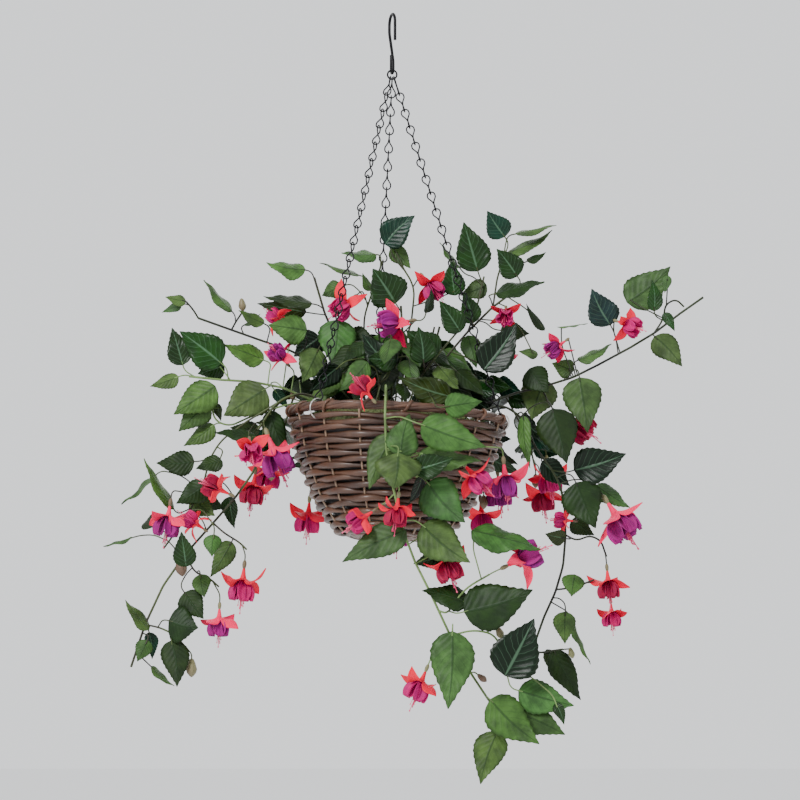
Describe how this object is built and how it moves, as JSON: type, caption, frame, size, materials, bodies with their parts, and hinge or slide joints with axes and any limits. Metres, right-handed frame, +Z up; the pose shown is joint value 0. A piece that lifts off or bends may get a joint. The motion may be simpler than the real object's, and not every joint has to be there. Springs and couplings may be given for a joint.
{
  "type": "hanging basket",
  "caption": "Round woven hanging basket planted with trailing artificial fuchsia, on a three-leg chain gathered at a ring under a wire hook.",
  "frame": {"origin": "the seat of the hook, the point that a bracket carries", "axes": "+Z up along the line of hang, +X to the right and -Y to the front of the planting"},
  "size_m": [0.6792, 0.392, 0.8794],
  "materials": {
    "black_wire": "semi-gloss black, rubbed to bare metal on the edges",
    "bright_wire": "dull galvanised",
    "willow": "satin varnished willow",
    "liner_film": "thin dull black film",
    "foam": "dry crumbly green",
    "moss": "matt fibrous",
    "stem": "satin moulded, olive to brown",
    "leaf": "printed woven cloth with a light waxy sheen",
    "flower": "thin dyed cloth"
  },
  "bodies": {
    "hook": {"hook": "black_wire"},
    "ring": {"top_ring": "black_wire"},
    "basket": {"basket_base": "willow", "basket_wall": "willow", "chain_left": "black_wire", "chain_rear": "black_wire", "chain_right": "black_wire", "flowers_back_centre": "flower", "flowers_back_left": "flower", "flowers_back_right": "flower", "flowers_crown": "flower", "flowers_front": "flower", "flowers_left_cluster": "flower", "flowers_left_long": "flower", "flowers_left_low": "flower", "flowers_left_mid": "flower", "flowers_right_long": "flower", "flowers_right_low": "flower", "flowers_top_left": "flower", "flowers_top_right": "flower", "foam_block": "foam", "leaves_back_centre": "leaf", "leaves_back_left": "leaf", "leaves_back_right": "leaf", "leaves_crown": "leaf", "leaves_front": "leaf", "leaves_left_cluster": "leaf", "leaves_left_long": "leaf", "leaves_left_low": "leaf", "leaves_left_mid": "leaf", "leaves_middle": "leaf", "leaves_right_long": "leaf", "leaves_right_low": "leaf", "leaves_top_left": "leaf", "leaves_top_right": "leaf", "liner": "liner_film", "moss": "moss", "rim_border": "willow", "rim_ring_left": "bright_wire", "rim_ring_rear": "bright_wire", "rim_ring_right": "bright_wire", "stakes": "willow", "stem_back_centre": "stem", "stem_back_left": "stem", "stem_back_right": "stem", "stem_crown": "stem", "stem_front": "stem", "stem_left_cluster": "stem", "stem_left_long": "stem", "stem_left_low": "stem", "stem_left_mid": "stem", "stem_middle": "stem", "stem_right_long": "stem", "stem_right_low": "stem", "stem_top_left": "stem", "stem_top_right": "stem"}
  },
  "joints": [
    {"name": "ring_swing", "type": "hinge", "parent": "hook", "child": "ring", "pos_m": [0, 0, -0.066], "axis": [0.2924, -0.9563, 0], "range_deg": [-30, 30]},
    {"name": "basket_swing", "type": "hinge", "parent": "ring", "child": "basket", "pos_m": [0, 0, -0.0748], "axis": [1, 0, 0], "range_deg": [-25, 25]}
  ]
}
